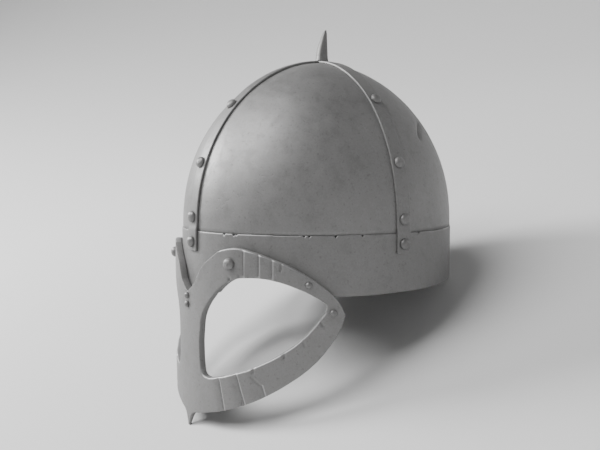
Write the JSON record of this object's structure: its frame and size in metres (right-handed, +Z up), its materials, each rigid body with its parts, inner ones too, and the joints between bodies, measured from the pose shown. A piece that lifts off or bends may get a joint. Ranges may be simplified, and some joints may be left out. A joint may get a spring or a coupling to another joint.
{
  "type": "norse iron spectacle helmet",
  "caption": "Riveted iron helmet with a four-plate dome, crest and side bands, brow band, top spike and a spectacle face guard with a nasal, at rest on a surface.",
  "frame": {"origin": "on the surface the helmet rests on, under the middle of its box", "axes": "+Z up from that surface, +X the wearer's left, -Y the side the face guard is on; the helmet lies back 23.9 degrees about X, on the rear of its rim and the nasal's tip"},
  "size_m": [0.2128, 0.292, 0.2295],
  "materials": {
    "dome_iron": "satin hammered iron",
    "band_iron": "satin forged iron",
    "guard_iron": "satin forged iron with cut grooves",
    "rivet_iron": "hammered iron"
  },
  "bodies": {
    "root": {"brow_band": "band_iron", "brow_rivet_left": "rivet_iron", "brow_rivet_right": "rivet_iron", "cheek_rivet_left": "rivet_iron", "cheek_rivet_right": "rivet_iron", "crest_band": "band_iron", "crest_rivet_front_1": "rivet_iron", "crest_rivet_front_2": "rivet_iron", "crest_rivet_front_3": "rivet_iron", "crest_rivet_front_4": "rivet_iron", "crest_rivet_rear_1": "rivet_iron", "crest_rivet_rear_2": "rivet_iron", "crest_rivet_rear_3": "rivet_iron", "crest_rivet_rear_4": "rivet_iron", "dome_plate_front_left": "dome_iron", "dome_plate_front_right": "dome_iron", "dome_plate_rear_left": "dome_iron", "dome_plate_rear_right": "dome_iron", "face_guard": "guard_iron", "nasal_rivet_lower": "rivet_iron", "nasal_rivet_upper": "rivet_iron", "side_band_left": "band_iron", "side_band_right": "band_iron", "side_rivet_left_1": "rivet_iron", "side_rivet_left_2": "rivet_iron", "side_rivet_left_3": "rivet_iron", "side_rivet_left_4": "rivet_iron", "side_rivet_right_1": "rivet_iron", "side_rivet_right_2": "rivet_iron", "side_rivet_right_3": "rivet_iron", "side_rivet_right_4": "rivet_iron", "spike": "rivet_iron", "temple_rivet_left": "rivet_iron", "temple_rivet_right": "rivet_iron"}
  },
  "joints": []
}
